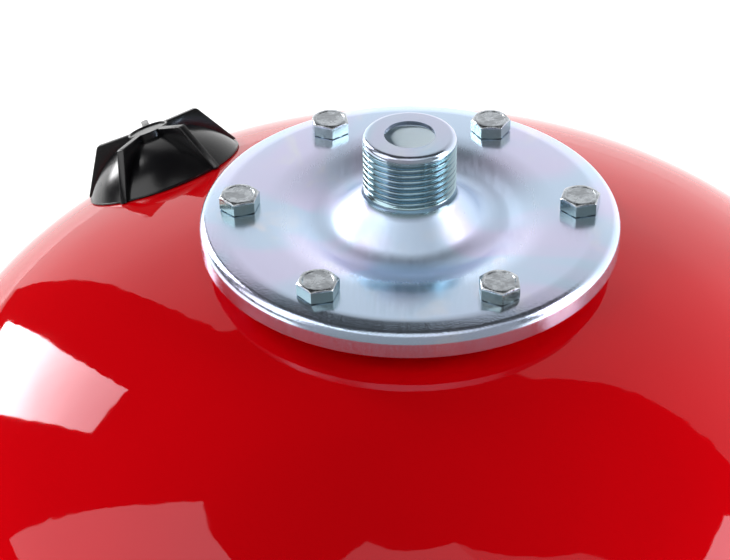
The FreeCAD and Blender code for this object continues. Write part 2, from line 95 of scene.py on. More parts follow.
# Flange, heights above its flat top
FLANGE_Z = POLE_Z + 9.5 * MM
FLANGE_T = 3.0 * MM
FLANGE_R = FLANGE_HIGH.x
RIM_DEPTH = FLANGE_Z - FLANGE_LOW.z
RIM_FOLD_R = 4.0 * MM
NECK_R = 16.625 * MM
NECK_RISE = FLANGE_HIGH.z - FLANGE_Z
NECK_LIP_T = 1.5 * MM
NECK_EDGE_R = 2.3 * MM
WATER_HOLE_R = 9.0 * MM
HUMP_FOOT = (NECK_R, 6.5 * MM)
HUMP_FOOT_R = 6.0 * MM
VALLEY = (30.0 * MM, -6.9 * MM)
VALLEY_R = 10.9 * MM
DISH = (46.0 * MM, 0.0)
DISH_R = 35.0 * MM
SHOULDER = (68.0 * MM, 0.0)
SHOULDER_R = 14.0 * MM
SHOULDER_SLOPE = 13.0 * DEGREE
FLANGE_SEGMENTS = 288
FLANGE_ARC_STEP = 3.0 * DEGREE

# Where the flange's look changes, from and to: by radius, or by height above the flat top. Bore and
# thread bound painted light and painted shade, the rest the plating's roughness and grain
BORE_LIGHT_EDGE = (14.0 * MM, 15.0 * MM)
BORE_LIGHT_TOP = (27.8 * MM, 28.2 * MM)
THREAD_SHADE_EDGE = (16.8 * MM, 17.6 * MM)
THREAD_SHADE_TOP = (27.8 * MM, 29.0 * MM)
DRAWN_START = (16.6 * MM, 17.2 * MM)
DRAWN_END = (36.0 * MM, 50.0 * MM)
POLISH_START = (64.0 * MM, 67.0 * MM)
BEND_START = (68.5 * MM, 71.5 * MM)
BEND_END = (75.2 * MM, 75.8 * MM)

# One turn of the pipe thread: place along the pitch, and share of the depth
THREAD_PROFILE = ((0.0, 0.0), (0.08, 0.0), (0.13, 0.08), (0.25, 0.5), (0.37, 0.92), (0.42, 1.0),
                  (0.5, 1.0), (0.58, 1.0), (0.63, 0.92), (0.75, 0.5), (0.87, 0.08), (0.92, 0.0))
# How much of a pitch the groove takes to reach its depth
THREAD_START = 0.5
THREAD_RUNOUT = 0.7

# Screws
BOLT_COUNT = 6
BOLT_CIRCLE_R = 61.0 * MM
BOLT_R = 4.0 * MM
BOLT_HOLE_R = 4.5 * MM
BOLT_LENGTH = 16.0 * MM
BOLT_AF = 13.0 * MM
BOLT_HEAD_H = 5.4 * MM
BOLT_FACE_H = 0.3 * MM
BOLT_TURNS = (15.0, 0.0, 39.0, 18.5, 14.0, 34.5)
BOLT_SIDE_POINTS = 12
BOLT_TOP_R = BOLT_AF * 0.475
BOLT_CHAMFER = 30.0 * DEGREE
BOLT_DISH_R = 5.2 * MM
BOLT_DISH_H = 0.25 * MM
BOLT_EDGE = 0.1 * MM
BOLT_CORNER = (0.12 * MM, 0.07 * MM)
BOLT_POINT = 0.8 * MM
BOLT_TOP_EDGE = (4.2 * MM, 4.8 * MM)

# Valve and its cover
VALVE_OFFSET_R = 129.0 * MM
VALVE_ANGLE = 141.0 * DEGREE
COVER_R = 32.0 * MM
COVER_LIP = 0.7 * MM
COVER_LIP_Z = -1.0 * MM
COVER_T = 2.2 * MM
COVER_GAP = 0.3 * MM
COVER_DOME_H = 15.7 * MM
WING_COUNT = 5
WING_FIRST = 33.5 * DEGREE
WING_T = 3.0 * MM
WING_TOP = 17.4 * MM
WING_CORNER = (22.3 * MM, 17.0 * MM)
WING_CORNER_R = 1.6 * MM
WING_TOE = (33.4 * MM, -1.4 * MM)
HUB_R = 8.4 * MM
HUB_RECESS_R = 7.4 * MM
HUB_RECESS_H = 0.6 * MM
STEM_R = 3.85 * MM
STEM_TOP = 12.4 * MM
SOCKET_PLAY = 0.12 * MM
SOCKET_R = 6.6 * MM
SOCKET_LENGTH = 6.5 * MM
COVER_EDGE = 0.25 * MM
COVER_SEGMENTS = 160
DOME_ROWS = 34
DOME_INNER_ROWS = 16
WING_ROOT = 0.3 * MM
WING_ROWS = 14
WING_ARC_STEP = 15.0 * DEGREE
WING_SHARP = 60.0 * DEGREE
# A height no piece has: it marks the points that are moved onto the head
ON_HEAD = -1.0

# Inside the valve, heights along its axis above the head
BUSH_R = 9.0 * MM
BUSH_LOW = -5.0 * MM
BUSH_HIGH = 3.0 * MM
SPRING_LOW = 4.95 * MM
SPRING_HIGH = 9.9 * MM
SPRING_R = 1.36 * MM
SPRING_WIRE_R = 0.22 * MM
SPRING_COILS = 5
SPRING_BENDS = 24
SPRING_SIDES = 10

# Legs
LEG_COUNT = 3
LEG_EDGE = 0.4 * MM

# The light sheets' lower and upper edges, as azimuths and elevations seen from the flange
SHEET_EDGES = {
    "backdrop": (((-35, -3), (84, -3)),
                 ((-35, 10), (-34, 35), (-31, 46), (-10, 54), (10, 59), (28, 59.5), (68, 41),
                  (84, 34))),
    "softbox": (((-63.5, 39.4), (-59, 17), (-56, 4), (-41, 4)),
                ((-63.5, 39.5), (-51.5, 42.5), (-41, 5))),
    "left_sheet": (((-140, 14), (-84, 14)), ((-140, 60), (-84, 60))),
    "right_sheet": (((84, -3), (108, -3)), ((84, 40), (108, 40))),
    "right_front_sheet": (((108, 40), (140, 46)), ((108, 62), (140, 80))),
    "front_sheet": (((140, 46), (220, 46)), ((140, 80), (220, 80))),
    "front_flag": (((125, -40), (235, -40)), ((125, 43), (235, 43))),
}
SHEET_REACH = 10.0
SHEET_BENDS = 60
SHEET_ROWS = 8
FLAG_REACH = 0.5

# Brightness up a sheet: height above the flange as a share of the reach, and share of the glow
BACKDROP_FADES = ((0.0, 1.0), (0.17, 0.93), (0.34, 0.86), (0.45, 0.7), (0.57, 0.6), (0.68, 0.5),
                  (0.85, 0.38))
SOFTBOX_FADES = ((0.34, 1.0), (0.42, 0.72), (0.5, 0.54), (0.57, 0.41), (0.66, 0.32))
# Brightness of two sheets as a share of the front sheet's
RIGHT_FRONT_SHARE = 0.7
FLAG_SHARE = 0.33

# The lamps' places, as azimuth, elevation and distance from the flange, and their sizes
LEFT_FILL = (-115.0, -8.0, 2.4)
RIGHT_FILL = (97.0, -8.0, 2.4)
NECK_LAMP = (193.0, 38.0, 1.0)
FILL_SIZE = 0.9
NECK_LAMP_CONE = 5.0 * DEGREE
NECK_LAMP_SOFT_EDGE = 0.3
NECK_LAMP_SIZE = 0.05

WHITE = (1.0, 1.0, 1.0, 1.0)
BLACK = (0.0, 0.0, 0.0, 1.0)
FLOOR_GREY = (0.82, 0.82, 0.82, 1.0)
FLOOR_GLOW = 0.55
FLOOR_SIZE = 40.0
WORLD_GLOW = 0.03

# The camera's place from the middle of the flange's top, and its turns in radians
CAMERA_PLACE = Vector((2.708, -578.952, 381.925)) * MM
CAMERA_YAW, CAMERA_PITCH, CAMERA_ROLL = -0.033, 0.621, -0.015
FILM_WIDTH = 36.0
NEAREST, FARTHEST = 0.01, 100.0

# How finely curved forms are divided, and the angle from which an edge stays sharp
ARC_STEP = 9.0 * DEGREE
HOLE_SEGMENTS = 48
SHARP_ANGLE = 32.0 * DEGREE
# Lengths below this one count as nothing
CLOSE = 1e-6


class TankSizes(bpy.types.PropertyGroup):
    """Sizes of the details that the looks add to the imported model"""
    thread_pitch: bpy.props.FloatProperty(
        name="Thread pitch", description="Distance between two turns of the neck's thread",
        default=2.309 * MM, unit="LENGTH")
    thread_depth: bpy.props.FloatProperty(
        name="Thread depth", description="Depth of the thread's groove",
        default=1.4 * MM, unit="LENGTH")
    bead_ripple: bpy.props.FloatProperty(
        name="Weld ripple", description="Distance between two ripples of the weld bead",
        default=3.2 * MM, unit="LENGTH")
    wing_edge: bpy.props.FloatProperty(
        name="Wing edge", description="Rounding of the cover's moulded edges",
        default=0.35 * MM, unit="LENGTH")


class TankFinishes(bpy.types.PropertyGroup):
    """Colours of the tank's finishes"""
    paint: bpy.props.FloatVectorProperty(
        name="Paint", description="Red of the shell and legs", subtype="COLOR",
        default=(0.62, 0.0, 0.003), min=0.0, max=1.0)
    zinc: bpy.props.FloatVectorProperty(
        name="Zinc", description="Pale blue of the plated flange", subtype="COLOR",
        default=(0.71, 0.76, 0.93), min=0.0, max=1.0)
    screw: bpy.props.FloatVectorProperty(
        name="Screw", description="Grey green of the plated screws", subtype="COLOR",
        default=(0.60, 0.64, 0.68), min=0.0, max=1.0)
    plastic: bpy.props.FloatVectorProperty(
        name="Plastic", description="Black of the valve cover", subtype="COLOR",
        default=(0.003, 0.003, 0.004), min=0.0, max=1.0)
    brass: bpy.props.FloatVectorProperty(
        name="Brass", description="Yellow metal of the valve", subtype="COLOR",
        default=(0.72, 0.52, 0.22), min=0.0, max=1.0)
    rubber: bpy.props.FloatVectorProperty(
        name="Rubber", description="Black of the bladder and seals", subtype="COLOR",
        default=(0.02, 0.02, 0.02), min=0.0, max=1.0)


class TankStudio(bpy.types.PropertyGroup):
    """The camera and the lamps of the stage"""
    lens: bpy.props.FloatProperty(
        name="Lens", description="Focal length of the camera", default=95.16, unit="CAMERA")
    softbox: bpy.props.FloatProperty(
        name="Softbox", description="Brightness of the softbox on the left", default=16.8)
    backdrop: bpy.props.FloatProperty(
        name="Backdrop", description="Brightness of the white sheet behind the tank", default=1.32)
    left: bpy.props.FloatProperty(
        name="Left sheet", description="Brightness of the sheet on the left", default=1.9)
    right: bpy.props.FloatProperty(
        name="Right sheet", description="Brightness of the sheet on the right", default=4.8)
    front: bpy.props.FloatProperty(
        name="Front sheet", description="Brightness of the sheet behind the camera", default=0.95)
    left_fill: bpy.props.FloatProperty(
        name="Left fill", description="Power of the low lamp on the left",
        default=32.0, unit="POWER")
    right_fill: bpy.props.FloatProperty(
        name="Right fill", description="Power of the low lamp on the right",
        default=82.0, unit="POWER")
    neck: bpy.props.FloatProperty(
        name="Neck lamp", description="Power of the narrow lamp into the water hole",
        default=46.0, unit="POWER")


class Value:
    """A number or colour that flows through a shader. Operators add the nodes that work it out."""

    def __init__(self, nodes, socket):
        self.nodes = nodes
        self.socket = socket

    def _math(self, operation, first, second):
        return self.nodes.node("ShaderNodeMath", {"operation": operation}, {0: first, 1: second})

    def __add__(self, other):
        return self._math("ADD", self, other)

    def __radd__(self, other):
        return self._math("ADD", other, self)

    def __sub__(self, other):
        return self._math("SUBTRACT", self, other)

    def __rsub__(self, other):
        return self._math("SUBTRACT", other, self)

    def __mul__(self, other):
        return self._math("MULTIPLY", self, other)

    def __rmul__(self, other):
        return self._math("MULTIPLY", other, self)


class Nodes:
    """The nodes of one material or world."""

    def __init__(self, tree):
        self.tree = tree

    def node(self, kind, settings=None, inputs=None, output=0):
        """Adds a node: its settings first, then the values or links of its sockets."""
        made = self.tree.nodes.new(kind)
        for key, value in (settings or {}).items():
            if key == "stops":
                self._set_stops(made.color_ramp, value)
            else:
                setattr(made, key, value)
        for key, value in (inputs or {}).items():
            if isinstance(value, Value):
                self.tree.links.new(value.socket, made.inputs[key])
            else:
                made.inputs[key].default_value = value
        return Value(self, made.outputs[output])

    def _set_stops(self, ramp, stops):
        while len(ramp.elements) > 1:
            ramp.elements.remove(ramp.elements[-1])
        for i, (position, colour) in enumerate(stops):
            element = ramp.elements[0] if i == 0 else ramp.elements.new(position)
            element.position = position
            element.color = colour


class Finish(Nodes):
    """One material and the nodes that make it."""

    def __init__(self, name, **constants):
        self.material = bpy.data.materials.new(name)
        self.material.use_nodes = True
        super().__init__(self.material.node_tree)
        self.shader = self.tree.nodes["Principled BSDF"]
        for socket, value in constants.items():
            self.shader.inputs[socket.replace("_", " ")].default_value = value
        self.place = self.node("ShaderNodeTexCoord", output="Object")

    def noise(self, scale, detail=2.0, distortion=0.0, place=None):
        """Smooth clouds between 0 and 1."""
        inputs = {"Vector": place or self.place, "Scale": scale, "Detail": detail,
                  "Distortion": distortion}
        return self.node("ShaderNodeTexNoise", None, inputs)

    def specks(self, scale, size, patch_scale, level):
        """1 in small dots, in the patches where a noise is above level, and 0 elsewhere."""
        cells = self.node("ShaderNodeTexVoronoi", {"feature": "F1"},
                          {"Vector": self.place, "Scale": scale})
        patches = self.noise(patch_scale, detail=0.0)
        return self.below(cells, (0.0, size)) * self.above(patches, (level, level + 0.04))

    def ramp(self, value, low, high, start=0.0, end=1.0):
        """A smooth step from start to end while value goes from low to high."""
        inputs = {"Value": value, "From Min": low, "From Max": high, "To Min": start, "To Max": end}
        return self.node("ShaderNodeMapRange", {"interpolation_type": "SMOOTHSTEP"}, inputs)

    def above(self, value, edge):
        """0 below a soft edge, which is (from, to), and 1 above it."""
        return self.ramp(value, *edge)

    def below(self, value, edge, rest=0.0):
        """1 below a soft edge, which is (from, to), and rest above it."""
        return self.ramp(value, *edge, 1.0, rest)

    def mix(self, factor, first, second):
        """Colour first turns into colour second as factor goes from 0 to 1."""
        inputs = {0: factor, 6: self._colour(first), 7: self._colour(second)}
        return self.node("ShaderNodeMix", {"data_type": "RGBA"}, inputs, 2)

    def _colour(self, value):
        return value if isinstance(value, Value) else (*value[:3], 1.0)

    def stretched(self, scale):
        """The object's coordinates, stretched along the axes."""
        return self.node("ShaderNodeMapping", None, {"Vector": self.place, "Scale": scale})

    def radius(self):
        """Distance of a surface point from the tank's axis."""
        level = self.node("ShaderNodeVectorMath", {"operation": "MULTIPLY"},
                          {0: self.place, 1: (1.0, 1.0, 0.0)})
        return self.node("ShaderNodeVectorMath", {"operation": "LENGTH"}, {0: level}, "Value")

    def height(self):
        """Height of a surface point above the flange's flat top."""
        return self.node("ShaderNodeSeparateXYZ", None, {0: self.place}, "Z") - FLANGE_Z

    def feed(self, socket, value):
        self.tree.links.new(value.socket, self.shader.inputs[socket])

    def bump(self, height, distance):
        """Raises the surface by height times distance, in looks alone."""
        inputs = {"Height": height, "Distance": distance, "Strength": 1.0}
        self.feed("Normal", self.node("ShaderNodeBump", None, inputs))


def tinted(colour, tint):
    """A colour with each part multiplied by its own share."""
    return tuple(part * share for part, share in zip(colour, tint))


def dimmed(colour, share):
    """A colour with all its parts multiplied by one share."""
    return tuple(share * part for part in colour)


def lightened(colour, amount):
    """A colour with an amount of grey added."""
    return tuple(part + amount for part in colour)


def red_paint(colour):
    """Glossy red powder coat with orange peel, faint cloudiness and a few dust specks."""
    finish = Finish("tank_red_paint", IOR=1.48, Specular_Tint=(1.0, 0.88, 1.0, 1.0))
    cloud = finish.ramp(finish.noise(scale=9.0), 0.35, 0.65)
    finish.feed("Base Color", finish.mix(cloud, dimmed(colour, 0.93), colour))
    haze = finish.noise(scale=60.0, detail=3.0)
    finish.feed("Roughness", finish.ramp(haze, 0.3, 0.7, 0.02, 0.04))
    ripple = finish.noise(scale=45.0)
    peel = finish.noise(scale=170.0, detail=1.0)
    dust = finish.specks(scale=95.0, size=0.05, patch_scale=40.0, level=0.60)
    finish.bump(ripple + peel * 0.1 + dust * 0.3, 0.1 * MM)
    return finish.material


def zinc_plate(colour):
    """Bright zinc plating: blue with violet, cyan and straw clouds, fine drawing marks, stains;
    painted shade in dark teal on the neck's thread, and painted light in the pale bore.
    """
    finish = Finish("tank_zinc_plate")
    broad = finish.noise(scale=14.0, distortion=1.2)
    fine = finish.noise(scale=48.0, detail=3.0, distortion=0.6)
    violet = tinted(colour, (1.04, 0.96, 1.03))
    cyan = tinted(colour, (0.89, 1.02, 1.04))
    straw = tinted(colour, (1.12, 1.08, 0.97))
    tone = finish.mix(finish.ramp(broad, 0.42, 0.6), cyan, violet)
    tone = finish.mix(finish.ramp(fine, 0.55, 0.75, 0.0, 0.7), tone, straw)
    stain = finish.specks(scale=260.0, size=0.09, patch_scale=70.0, level=0.62)
    tone = finish.mix(stain * 0.5, tone, (0.18, 0.18, 0.2))
    radius, height = finish.radius(), finish.height()
    # Where the painted light of the bore and the painted shade of the thread go
    bore = finish.below(radius, BORE_LIGHT_EDGE) * finish.below(height, BORE_LIGHT_TOP)
    thread = finish.below(radius, THREAD_SHADE_EDGE) * finish.below(height, THREAD_SHADE_TOP, 0.35)
    # Painted shade and reflection: the thread is painted a dark teal, and the neck's top above it
    # at about a third of that strength
    tone = finish.mix(thread * 0.85, tone, (0.30, 0.45, 0.48))
    # Painted light: the bore is painted a pale colour and made nearly not metal, so it shows as lit
    # where light enters the water hole
    finish.feed("Base Color", finish.mix(bore, tone, (0.70, 0.80, 0.86)))
    finish.feed("Metallic", 0.97 - bore * 0.9)
    scratch = finish.noise(scale=30.0, detail=6.0, place=finish.stretched((40.0, 3.0, 8.0)))
    drawn = finish.above(radius, DRAWN_START) * finish.below(radius, DRAWN_END)
    polish = finish.above(radius, POLISH_START)
    finish.feed("Roughness", finish.ramp(scratch, 0.3, 0.7, 0.19, 0.25) + drawn * 0.22 -
                thread * 0.07 - polish * 0.02)
    bend = finish.above(radius, BEND_START) * finish.below(radius, BEND_END)
    grain = finish.noise(scale=1500.0)
    finish.bump(scratch * 0.25 + grain * (bend * 0.9 + 0.12), 0.05 * MM)
    return finish.material


def zinc_screw(colour):
    """Duller grey-green plating with forging texture on the heads; painted shade makes the heads'
    flats and the shanks darker and greener than the tops.
    """
    finish = Finish("tank_zinc_screw", Metallic=1.0)
    patch = finish.noise(scale=300.0, detail=3.0)
    top = finish.above(finish.height(), BOLT_TOP_EDGE)
    tone = finish.mix(finish.ramp(patch, 0.35, 0.65), dimmed(colour, 0.62), colour)
    # Painted shade: the heads' flats and the shanks take a darker, greener copy of the plating
    # colour than the tops
    side = tinted(colour, (0.62, 0.72, 0.64))
    finish.feed("Base Color", finish.mix(top, side, tone))
    finish.feed("Roughness", finish.ramp(patch, 0.3, 0.7, 0.12, 0.2) + top * 0.1)
    forged = finish.noise(scale=700.0, detail=3.0)
    finish.bump(forged * (top * 0.85 + 0.15), 0.14 * MM)
    return finish.material


def black_plastic(colour):
    """Glossy moulded black plastic with flow marks."""
    finish = Finish("tank_black_plastic", IOR=1.5)
    flow = finish.noise(scale=35.0, detail=3.0, distortion=0.5)
    grey = lightened(colour, 0.003)
    finish.feed("Base Color", finish.mix(finish.ramp(flow, 0.4, 0.65), colour, grey))
    finish.feed("Roughness", finish.ramp(flow, 0.3, 0.7, 0.2, 0.28))
    finish.bump(finish.noise(scale=900.0), 0.02 * MM)
    return finish.material


def turned_brass(colour):
    """Brass with the fine rings of the lathe."""
    finish = Finish("tank_brass", Metallic=1.0)
    ring = finish.noise(scale=20.0, detail=4.0, place=finish.stretched((4.0, 4.0, 160.0)))
    dull = dimmed(colour, 0.75)
    finish.feed("Base Color", finish.mix(finish.ramp(ring, 0.3, 0.7), dull, colour))
    finish.feed("Roughness", finish.ramp(ring, 0.3, 0.7, 0.2, 0.36))
    finish.bump(ring, 0.04 * MM)
    return finish.material


def bladder_rubber(colour):
    """Matt black rubber with a faint bloom."""
    finish = Finish("tank_bladder_rubber")
    bloom = finish.noise(scale=120.0, detail=4.0)
    grey = lightened(colour, 0.02)
    finish.feed("Base Color", finish.mix(finish.ramp(bloom, 0.4, 0.7), colour, grey))
    finish.feed("Roughness", finish.ramp(bloom, 0.3, 0.7, 0.55, 0.7))
    finish.bump(bloom, 0.1 * MM)
    return finish.material


def spring_steel():
    """Drawn wire with darker and brighter patches."""
    finish = Finish("tank_spring_steel", Metallic=1.0)
    wear = finish.noise(scale=900.0, detail=3.0)
    finish.feed("Base Color", finish.mix(wear, (0.3, 0.3, 0.31), (0.6, 0.6, 0.62)))
    finish.feed("Roughness", finish.ramp(wear, 0.3, 0.7, 0.2, 0.35))
    return finish.material


def linked(name, data):
    """A new object, put into the scene."""
    made = bpy.data.objects.new(name, data)
    bpy.context.scene.collection.objects.link(made)
    return made


def new_object(name, mesh, material, body):
    """Puts a mesh into the scene as a piece that rides on a body."""
    piece = linked(name, mesh)
    mesh.materials.append(material)
    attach(piece, body)
    return piece


def smooth_mesh(name, vertices, faces):
    """A mesh with smooth faces and sharp edges where the surface really turns."""
    mesh = bpy.data.meshes.new(name)
    mesh.from_pydata(vertices, [], faces)
    shape = bmesh.new()
    shape.from_mesh(mesh)
    bmesh.ops.recalc_face_normals(shape, faces=shape.faces)
    finish_normals(shape)
    shape.to_mesh(mesh)
    shape.free()
    return mesh


def finish_normals(shape):
    """Smooth faces, and edges that stay sharp where the surface turns enough."""
    for face in shape.faces:
        face.smooth = True
    for edge in shape.edges:
        if len(edge.link_faces) == 2:
            edge.smooth = edge.calc_face_angle(0.0) < SHARP_ANGLE


def bent_line(corners, radii, step=ARC_STEP):
    """Points of a path through corners, with arcs of the given radii at the inner corners."""
    points = [Vector(corners[0])]
    for i in range(1, len(corners) - 1):
        here = Vector(corners[i])
        back = (Vector(corners[i - 1]) - here).normalized()
        ahead = (Vector(corners[i + 1]) - here).normalized()
        half = back.angle(ahead) / 2.0
        radius = radii[i - 1]
        if radius <= 0.0:
            points.append(here)
            continue
        middle = (back + ahead).normalized()
        centre = here + middle * (radius / math.sin(half))
        start = here + back * (radius / math.tan(half)) - centre
        end = here + ahead * (radius / math.tan(half)) - centre
        turn = start.angle_signed(end)
        count = max(2, math.ceil(abs(turn) / step))
        for k in range(count + 1):
            angle = -turn * k / count
            cosine, sine = math.cos(angle), math.sin(angle)
            spoke = Vector((start.x * cosine - start.y * sine, start.x * sine + start.y * cosine))
            points.append(centre + spoke)
    points.append(Vector(corners[-1]))
    return points


def offset_corners(corners, distance):
    """The corners moved sideways by distance, to the right of the path's direction."""
    moved = []
    for i, here in enumerate(corners):
        sides = []
        for a, b in ((i - 1, i), (i, i + 1)):
            if a >= 0 and b < len(corners):
                along = (Vector(corners[b]) - Vector(corners[a])).normalized()
                sides.append(Vector((along.y, -along.x)))
        total = sum(sides, Vector((0.0, 0.0)))
        share = distance if len(sides) == 1 else distance / (1.0 + sides[0].dot(sides[1]))
        moved.append(tuple(Vector(here) + total * share))
    return moved


def offset_radii(corners, radii, distance):
    """The bend radii on the other face of the sheet, never below zero."""
    result = []
    for i, radius in enumerate(radii):
        before = Vector(corners[i + 1]) - Vector(corners[i])
        after = Vector(corners[i + 2]) - Vector(corners[i + 1])
        turns_right = before.y * after.x - before.x * after.y > 0.0
        result.append(max(radius + (-distance if turns_right else distance), 0.0))
    return result


def turned_rows(outline, segments, radius_at=None):
    """The points of a body of revolution about Z, a row for each point of its outline.
    radius_at may change a point's radius by its angle, as a ripple does."""
    vertices = []
    rows = []
    for index, (r, z) in enumerate(outline):
        if r < CLOSE:
            rows.append([len(vertices)])
            vertices.append((0.0, 0.0, z))
            continue
        row = []
        for k in range(segments):
            angle = 2.0 * math.pi * k / segments
            radius = radius_at(index, r, angle) if radius_at else r
            row.append(len(vertices))
            vertices.append((radius * math.cos(angle), radius * math.sin(angle), z))
        rows.append(row)
    return vertices, rows


def joined(lower, upper):
    """The faces between two rows, one of which may be a single point."""
    if len(lower) == 1 and len(upper) == 1:
        return []
    faces = []
    for k in range(max(len(lower), len(upper))):
        face = (lower[k % len(lower)], lower[(k + 1) % len(lower)],
                upper[(k + 1) % len(upper)], upper[k % len(upper)])
        faces.append(without_repeats(face))
    return faces


def without_repeats(face):
    """The face's corners, each named once where neighbours are the same point."""
    return tuple(corner for i, corner in enumerate(face) if corner != face[i - 1])


def turned_mesh(name, outline, segments, radius_at=None):
    """A body of revolution about Z from a closed outline of (r, z) points."""
    vertices, rows = turned_rows(outline, segments, radius_at)
    faces = []
    for lower, upper in zip(rows, rows[1:] + rows[:1]):
        faces += joined(lower, upper)
    return smooth_mesh(name, vertices, faces)


def head_outline(radius, height, tangent_z, up, inner_r, count):
    """Points down a head's ellipse, from the barrel in to inner_r."""
    last = math.acos(inner_r / radius)
    points = []
    for k in range(count + 1):
        angle = last * k / count
        points.append((radius * math.cos(angle), tangent_z + up * height * math.sin(angle)))
    if inner_r == 0.0:
        points[-1] = (0.0, points[-1][1])
    return points


def upper_shell_mesh():
    """The upper half's sheet: the barrel and the head, open under the flange."""
    outside = head_outline(TANK_R, HEAD_H, UPPER_TANGENT_Z, 1.0, OPENING_R, UPPER_ROWS)
    inside = head_outline(TANK_R - SHELL_T, HEAD_H - SHELL_T, UPPER_TANGENT_Z, 1.0, OPENING_R,
                          INNER_ROWS)
    outline = [(TANK_R - SHELL_T, SEAM_Z), (TANK_R, SEAM_Z)] + outside + inside[::-1]
    return turned_mesh("tank_upper", outline, SHELL_SEGMENTS)


def lower_shell_mesh():
    """The lower half's sheet, with the edge that steps into the upper half."""
    outside = head_outline(TANK_R, HEAD_H, LOWER_TANGENT_Z, -1.0, 0.0, LOWER_ROWS)
    inside = head_outline(TANK_R - SHELL_T, HEAD_H - SHELL_T, LOWER_TANGENT_Z, -1.0, 0.0,
                          INNER_ROWS)
    step_z = SEAM_Z - STEP_H
    lap = [(TANK_R - SHELL_T, step_z), (LAP_R - SHELL_T, SEAM_Z), (LAP_R - SHELL_T, LOWER_HIGH.z)]
    lap += [(LAP_R, LOWER_HIGH.z), (LAP_R, SEAM_Z), (TANK_R, step_z)]
    return turned_mesh("tank_lower", inside[::-1] + lap + outside, SHELL_SEGMENTS)


def weld_mesh(ripple):
    """The bead round the middle, rippled as the torch moved."""
    low, high = BEAD_LOW.z, BEAD_HIGH.z
    proud = BEAD_HIGH.x - TANK_R
    outline = []
    for k in range(BEAD_ROWS + 1):
        share = k / BEAD_ROWS
        bulge = proud * (1.0 - (2.0 * share - 1.0) ** 2)
        outline.append((TANK_R + bulge, low + (high - low) * share))
    outline += [(LAP_R, SEAM_Z), (TANK_R, SEAM_Z - STEP_H)]
    turns = round(2.0 * math.pi * TANK_R / ripple)

    def radius_at(index, r, angle):
        if index == 0 or index >= BEAD_ROWS:
            return r
        lag = abs(2.0 * index / BEAD_ROWS - 1.0) * RIPPLE_LAG
        wave = RIPPLE_HEIGHT * (0.5 + 0.5 * math.cos(turns * angle - lag))
        wander = WANDER_HEIGHT * math.sin(WANDER_COUNT * angle)
        return TANK_R + (r - TANK_R) * (BEAD_HEIGHT - wave + wander)

    return turned_mesh("weld_bead", outline, turns * RIPPLE_POINTS, radius_at)


def thread_faces(vertices, top_row, foot_row, high, low, pitch, depth):
    """Cuts a right-hand thread between two rows of the neck: rows of points that climb with it."""
    segments = len(top_row)
    turns = math.ceil((high - low) / pitch) + 1
    columns = []
    for k in range(segments):
        angle = 2.0 * math.pi * k / segments
        column = []
        for turn in range(turns):
            for place, share in THREAD_PROFILE:
                z = high + pitch * (k / segments - turn - place)
                if z >= high:
                    column.append(top_row[k])
                elif z <= low:
                    column.append(foot_row[k])
                else:
                    fade = min((high - z) / (THREAD_START * pitch),
                               (z - low) / (THREAD_RUNOUT * pitch), 1.0)
                    radius = NECK_R - depth * share * fade
                    column.append(len(vertices))
                    vertices.append((radius * math.cos(angle), radius * math.sin(angle), z))
        columns.append(column + [foot_row[k]])
    climb = len(THREAD_PROFILE)
    columns.append([top_row[0]] * climb + columns[0][:-climb])
    faces = []
    for here, after in zip(columns, columns[1:]):
        for i in range(len(here) - 1):
            face = without_repeats((here[i], after[i], after[i + 1], here[i + 1]))
            if len(face) > 2:
                faces.append(face)
    return faces


def flange_mesh(pitch, depth):
    """The flange's bent sheet, with the turns of the thread cut into its neck."""
    path = [(WATER_HOLE_R, NECK_RISE), (NECK_R, NECK_RISE), HUMP_FOOT, VALLEY, DISH]
    fold_z = (SHOULDER[0] - FLANGE_R) * math.tan(SHOULDER_SLOPE)
    path += [SHOULDER, (FLANGE_R, fold_z), (FLANGE_R, -RIM_DEPTH)]
    radii = [NECK_EDGE_R, HUMP_FOOT_R, VALLEY_R, DISH_R, SHOULDER_R, RIM_FOLD_R]
    top = bent_line(path, radii, FLANGE_ARC_STEP)
    under = bent_line(offset_corners(path, FLANGE_T), offset_radii(path, radii, FLANGE_T))
    lip = [Vector((WATER_HOLE_R, NECK_RISE - NECK_LIP_T)),
           Vector((WATER_HOLE_R + FLANGE_T - NECK_LIP_T, NECK_RISE - FLANGE_T))]
    under = lip + under[1:]
    neck_top = max(i for i, point in enumerate(top) if point.x >= NECK_R - CLOSE and
                   point.y > NECK_RISE - 2.0 * NECK_EDGE_R)
    outline = [(point.x, FLANGE_Z + point.y) for point in top + under[::-1]]
    vertices, rows = turned_rows(outline, FLANGE_SEGMENTS)
    faces = []
    for i, (lower, upper) in enumerate(zip(rows, rows[1:] + rows[:1])):
        if i == neck_top:
            high, low = outline[i][1], outline[i + 1][1]
            faces += thread_faces(vertices, lower, upper, high, low, pitch, depth)
        else:
            faces += joined(lower, upper)
    return smooth_mesh("flange", vertices, faces)


def cut_holes(piece, radius, low, high, places):
    """Drills holes through a piece, each along Z of one of the given places."""
    cutters = []
    for place in places:
        shape = bmesh.new()
        bmesh.ops.create_cone(shape, cap_ends=True, segments=HOLE_SEGMENTS, radius1=radius,
                              radius2=radius, depth=high - low)
        bmesh.ops.translate(shape, verts=shape.verts, vec=(0.0, 0.0, (low + high) / 2.0))
        mesh = bpy.data.meshes.new("cutter")
        shape.to_mesh(mesh)
        shape.free()
        mesh.transform(place)
        cutters.append(linked("cutter", mesh))
        tool = piece.modifiers.new("hole", "BOOLEAN")
        tool.operation = "DIFFERENCE"
        tool.solver = "EXACT"
        tool.object = cutters[-1]
    apply_modifiers(piece)
    for cutter in cutters:
        mesh = cutter.data
        bpy.data.objects.remove(cutter)
        bpy.data.meshes.remove(mesh)


